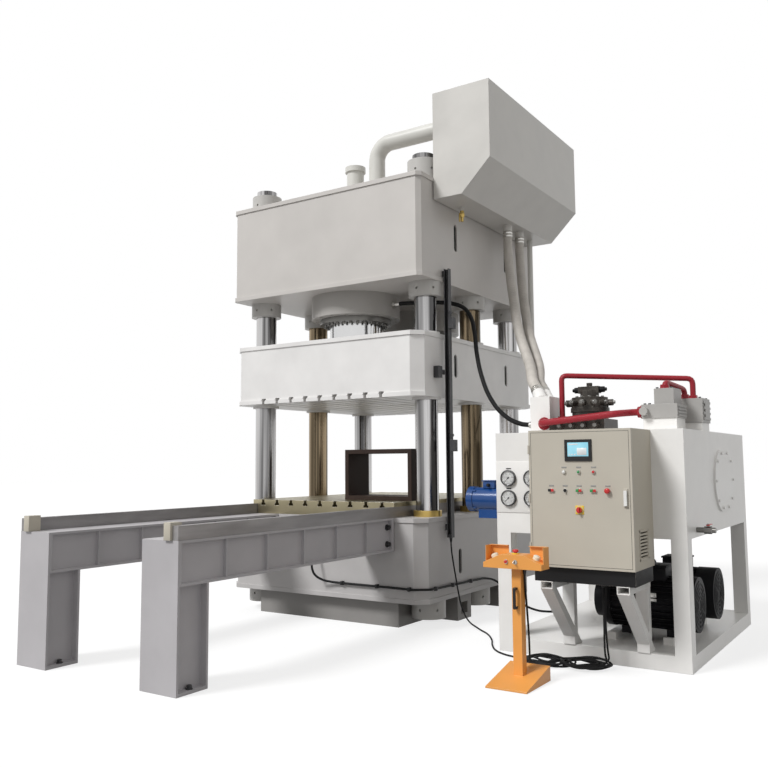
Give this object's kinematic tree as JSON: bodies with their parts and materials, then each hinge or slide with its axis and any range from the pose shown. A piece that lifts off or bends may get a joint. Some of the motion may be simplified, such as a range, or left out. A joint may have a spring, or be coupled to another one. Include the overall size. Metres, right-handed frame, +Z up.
{
  "type": "hydraulic press",
  "caption": "Column-guided hydraulic press with a moving table on rails, overhead prefill tank, power unit, control cabinet and two-hand pedestal.",
  "frame": {"origin": "on the floor under the middle of the press", "axes": "+Z up, -Y towards the rails of the moving table, +X towards the power unit"},
  "size_m": [5.313, 5.712, 5.553],
  "materials": {
    "grey_paint": "satin warm grey enamel",
    "white_paint": "satin off-white enamel",
    "light_grey_paint": "satin light grey enamel",
    "beige_paint": "fine textured beige powder coat",
    "orange_paint": "satin orange enamel",
    "column_chrome": "ground and chromed",
    "machined_steel": "machined steel with an oil film",
    "dark_steel": "dark machined steel",
    "nut_paint": "grey enamel",
    "brass": "turned",
    "brown_primer": "matt brown primer",
    "black_steel": "black coating",
    "black_iron": "black enamel on castings",
    "valve_grey": "bare grey casting",
    "red_paint": "gloss red enamel",
    "blue_paint": "gloss blue enamel",
    "gauge_black": "black case",
    "black_plastic": "matt",
    "white_plastic": "semi gloss",
    "red_plastic": "semi gloss",
    "green_plastic": "semi gloss",
    "grey_hose": "corrugated grey hose",
    "black_rubber": "matt black"
  },
  "bodies": {
    "frame": {"crown": "grey_paint", "bed": "grey_paint", "bed_base": "grey_paint", "columns": "column_chrome", "column_nuts": "nut_paint", "column_rings": "brass", "main_cylinders": "grey_paint", "gland_rings": "dark_steel", "prefill_tank": "grey_paint", "prefill_pipes": "grey_paint", "scale_bar": "black_steel", "table_cylinder": "dark_steel", "rails": "dark_steel", "girders": "light_grey_paint", "legs": "light_grey_paint", "power_frame": "white_paint", "oil_tank": "white_paint", "manhole_cover": "white_paint", "gauges": "gauge_black", "valve_stack": "black_iron", "valve_blocks": "valve_grey", "red_pipes": "red_paint", "motors": "black_iron", "circulation_motor": "blue_paint", "drain_valve": "valve_grey", "cabinet": "beige_paint", "pedestal": "orange_paint", "pedestal_cable": "black_rubber", "cable_coil": "black_rubber", "sensor_cable": "black_rubber", "return_hoses": "grey_hose", "pressure_hoses": "black_rubber", "table_hose": "black_rubber"},
    "slide": {"slide": "white_paint", "rams": "column_chrome", "slide_bushes": "brass", "striker": "dark_steel"},
    "table": {"bolster": "machined_steel", "spacer_frame": "brown_primer", "table_rod": "column_chrome"},
    "door": {"cabinet_door": "beige_paint", "screen": "black_plastic", "pilot_lamps": "white_plastic"},
    "handle": {"door_handle": "white_plastic"},
    "drain_lever": {"drain_lever": "red_plastic"},
    "pump_button_a": {"pump_button_a": "red_plastic"},
    "pump_button_b": {"pump_button_b": "green_plastic"},
    "pump_button_c": {"pump_button_c": "green_plastic"},
    "mode_selector": {"mode_selector": "black_plastic"},
    "stop_mushroom": {"stop_mushroom": "red_plastic"},
    "main_switch": {"main_switch": "red_plastic"},
    "palm_left": {"palm_left": "white_plastic"},
    "palm_right": {"palm_right": "white_plastic"},
    "pedestal_estop": {"pedestal_estop": "red_plastic"},
    "key_switch": {"key_switch": "black_plastic"},
    "pedestal_button": {"pedestal_button": "red_plastic"},
    "needle_a": {"needle_a": "gauge_black"},
    "needle_b": {"needle_b": "gauge_black"},
    "needle_c": {"needle_c": "gauge_black"},
    "needle_d": {"needle_d": "gauge_black"}
  },
  "joints": [
    {"name": "ram_slide", "type": "slide", "parent": "frame", "child": "slide", "axis": [0, 0, 1], "range_m": [-0.49, 0.1]},
    {"name": "table_travel", "type": "slide", "parent": "frame", "child": "table", "axis": [0, -1, 0], "range_m": [0, 2.58]},
    {"name": "door_hinge", "type": "hinge", "parent": "frame", "child": "door", "pos_m": [2.77, -2.2, 1.36], "axis": [0, 0, -1], "range_deg": [0, 45]},
    {"name": "handle_turn", "type": "hinge", "parent": "door", "child": "handle", "pos_m": [3.557, -2.2, 1.413], "axis": [0, 1, 0], "range_deg": [0, 90]},
    {"name": "drain_turn", "type": "hinge", "parent": "frame", "child": "drain_lever", "pos_m": [3.963, -1.378, 1.126], "axis": [0, 0, -1], "range_deg": [0, 90]},
    {"name": "pump_button_a_push", "type": "slide", "parent": "door", "child": "pump_button_a", "axis": [0, 1, 0], "range_m": [0, 0.005], "stiffness_N_per_m": 400},
    {"name": "pump_button_b_push", "type": "slide", "parent": "door", "child": "pump_button_b", "axis": [0, 1, 0], "range_m": [0, 0.005], "stiffness_N_per_m": 400},
    {"name": "pump_button_c_push", "type": "slide", "parent": "door", "child": "pump_button_c", "axis": [0, 1, 0], "range_m": [0, 0.005], "stiffness_N_per_m": 400},
    {"name": "stop_mushroom_push", "type": "slide", "parent": "door", "child": "stop_mushroom", "axis": [0, 1, 0], "range_m": [0, 0.005], "stiffness_N_per_m": 400},
    {"name": "mode_turn", "type": "hinge", "parent": "door", "child": "mode_selector", "pos_m": [3.075, -2.2, 1.425], "axis": [0, 1, 0], "range_deg": [-45, 45]},
    {"name": "main_switch_turn", "type": "hinge", "parent": "door", "child": "main_switch", "pos_m": [3.19, -2.2, 1.274], "axis": [0, 1, 0], "range_deg": [0, 90]},
    {"name": "palm_left_push", "type": "slide", "parent": "frame", "child": "palm_left", "axis": [0.4044, 0, -0.9146], "range_m": [0, 0.006], "stiffness_N_per_m": 600},
    {"name": "palm_right_push", "type": "slide", "parent": "frame", "child": "palm_right", "axis": [-0.4044, 0, -0.9146], "range_m": [0, 0.006], "stiffness_N_per_m": 600},
    {"name": "pedestal_estop_push", "type": "slide", "parent": "frame", "child": "pedestal_estop", "axis": [0, 0, -1], "range_m": [0, 0.006], "stiffness_N_per_m": 600},
    {"name": "pedestal_button_push", "type": "slide", "parent": "frame", "child": "pedestal_button", "axis": [0, 1, 0], "range_m": [0, 0.006], "stiffness_N_per_m": 400},
    {"name": "key_turn", "type": "hinge", "parent": "frame", "child": "key_switch", "pos_m": [2.872, -2.725, 0.9065], "axis": [0, 1, 0], "range_deg": [0, 90]},
    {"name": "needle_a_turn", "type": "hinge", "parent": "frame", "child": "needle_a", "pos_m": [2.352, -1.713, 1.51], "axis": [0, 1, 0], "range_deg": [0, 270], "stiffness_Nm_per_rad": 0.02},
    {"name": "needle_b_turn", "type": "hinge", "parent": "frame", "child": "needle_b", "pos_m": [2.352, -1.713, 1.334], "axis": [0, 1, 0], "range_deg": [0, 270], "stiffness_Nm_per_rad": 0.02},
    {"name": "needle_c_turn", "type": "hinge", "parent": "frame", "child": "needle_c", "pos_m": [2.572, -1.713, 1.51], "axis": [0, 1, 0], "range_deg": [0, 270], "stiffness_Nm_per_rad": 0.02},
    {"name": "needle_d_turn", "type": "hinge", "parent": "frame", "child": "needle_d", "pos_m": [2.572, -1.713, 1.334], "axis": [0, 1, 0], "range_deg": [0, 270], "stiffness_Nm_per_rad": 0.02}
  ]
}
